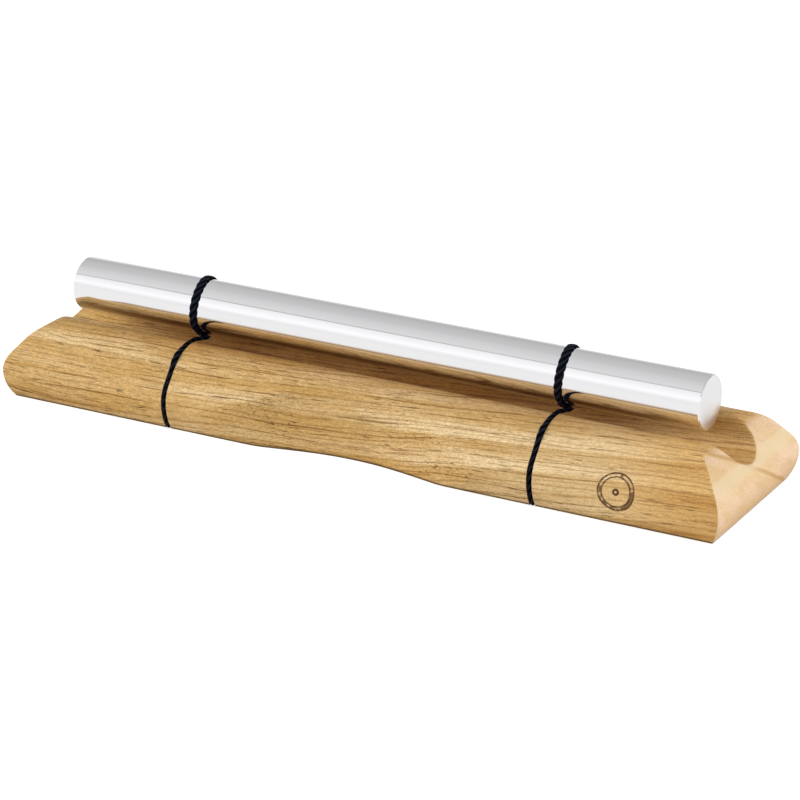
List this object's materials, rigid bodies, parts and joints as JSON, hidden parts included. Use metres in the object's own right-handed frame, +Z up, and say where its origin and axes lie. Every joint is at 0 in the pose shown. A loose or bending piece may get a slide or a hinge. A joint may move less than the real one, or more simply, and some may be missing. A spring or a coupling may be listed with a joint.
{
  "type": "table chime bar",
  "caption": "Round metal rod slung on cords over a hollowed hardwood block, struck with a small mallet to sound one long note.",
  "frame": {"origin": "middle of the block's flat underside, on the surface it rests on", "axes": "+X along the bar, +Y towards the back, +Z up"},
  "size_m": [0.2328, 0.0564, 0.0401],
  "materials": {
    "oiled_hardwood": "pale golden hardwood, sanded and oiled, satin",
    "polished_aluminium": "polished along the rod, finely brushed on the sawn ends",
    "black_cord": "black twisted synthetic cord"
  },
  "bodies": {
    "base": {"base_block": "oiled_hardwood", "left_cord_front_run": "black_cord", "left_cord_rear_run": "black_cord", "left_cord_knot": "black_cord", "left_cord_front_span": "black_cord", "left_cord_rear_span": "black_cord", "right_cord_front_run": "black_cord", "right_cord_rear_run": "black_cord", "right_cord_knot": "black_cord", "right_cord_front_span": "black_cord", "right_cord_rear_span": "black_cord"},
    "sling": {"left_cord_loop": "black_cord", "right_cord_loop": "black_cord"},
    "bar": {"chime_bar": "polished_aluminium"}
  },
  "joints": [
    {"name": "bar_bounce", "type": "slide", "parent": "base", "child": "sling", "axis": [0, 0, 1], "range_m": [-0.0025, 0.0015], "stiffness_N_per_m": 500, "springref_m": 0.00219, "deforming": ["left_cord_front_span", "left_cord_rear_span", "right_cord_front_span", "right_cord_rear_span"]},
    {"name": "bar_turn", "type": "hinge", "parent": "sling", "child": "bar", "pos_m": [0, -0.0026, 0.0308], "axis": [1, 0, 0], "continuous": true}
  ]
}
